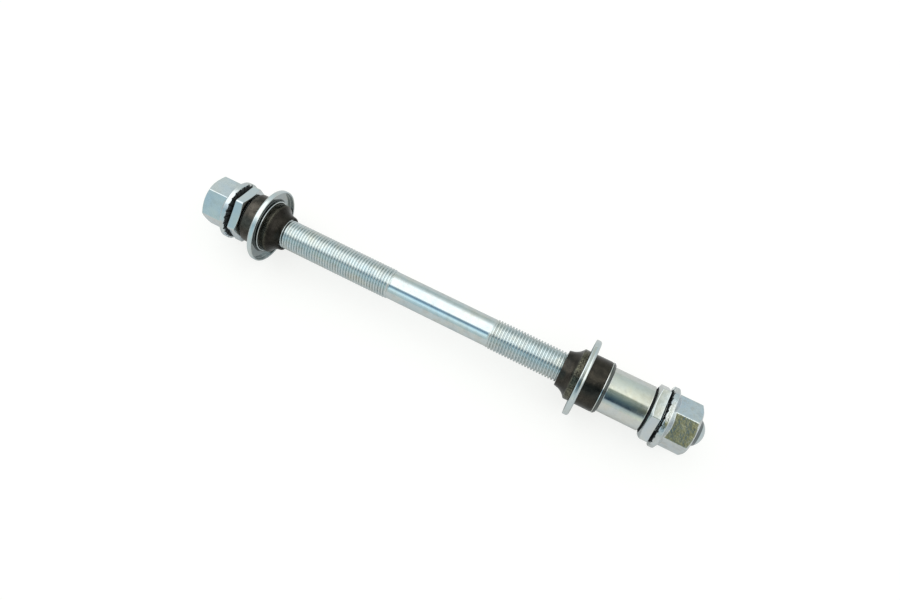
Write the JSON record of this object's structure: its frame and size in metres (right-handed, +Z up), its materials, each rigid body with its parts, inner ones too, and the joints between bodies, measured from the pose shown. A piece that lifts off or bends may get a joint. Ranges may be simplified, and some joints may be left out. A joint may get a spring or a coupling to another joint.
{
  "type": "rear hub axle",
  "caption": "Threaded rear hub axle with bearing cones, dust caps, lock nuts, a washer, a spacer tube and toothed flange nuts.",
  "frame": {"origin": "middle of the axle, on its centre line", "axes": "+X along the axle toward the end with the spacer, +Z up as the axle lies on its dust caps"},
  "size_m": [0.18, 0.0254, 0.0254],
  "materials": {
    "axle_zinc": "bright blue-white zinc",
    "nut_zinc": "satin zinc",
    "lock_nut_zinc": "satin zinc",
    "cap_zinc": "bright zinc",
    "spacer_zinc": "polished zinc",
    "dark_oxide": "dark oxide"
  },
  "bodies": {
    "axle": {"axle": "axle_zinc", "right_washer": "spacer_zinc", "right_spacer": "spacer_zinc"},
    "left_cone": {"left_cone": "dark_oxide", "left_dust_cap": "cap_zinc"},
    "left_lock_nut": {"left_lock_nut": "lock_nut_zinc"},
    "left_axle_nut": {"left_axle_nut": "nut_zinc"},
    "right_cone": {"right_cone": "dark_oxide", "right_dust_cap": "cap_zinc"},
    "right_lock_nut": {"right_lock_nut": "lock_nut_zinc"},
    "right_axle_nut": {"right_axle_nut": "nut_zinc"}
  },
  "joints": [
    {"name": "left_cone_travel", "type": "slide", "parent": "axle", "child": "left_cone", "axis": [1, 0, 0], "range_m": [0, 0.039]},
    {"name": "right_cone_travel", "type": "slide", "parent": "axle", "child": "right_cone", "axis": [-1, 0, 0], "range_m": [0, 0.0245]},
    {"name": "left_lock_nut_travel", "type": "slide", "parent": "axle", "child": "left_lock_nut", "axis": [-1, 0, 0], "range_m": [0, 0.004]},
    {"name": "right_lock_nut_travel", "type": "slide", "parent": "axle", "child": "right_lock_nut", "axis": [1, 0, 0], "range_m": [0, 0.004]},
    {"name": "left_axle_nut_travel", "type": "slide", "parent": "left_lock_nut", "child": "left_axle_nut", "axis": [-1, 0, 0], "range_m": [-0.00115, 0.005]},
    {"name": "right_axle_nut_travel", "type": "slide", "parent": "right_lock_nut", "child": "right_axle_nut", "axis": [1, 0, 0], "range_m": [-0.00075, 0.005]}
  ]
}
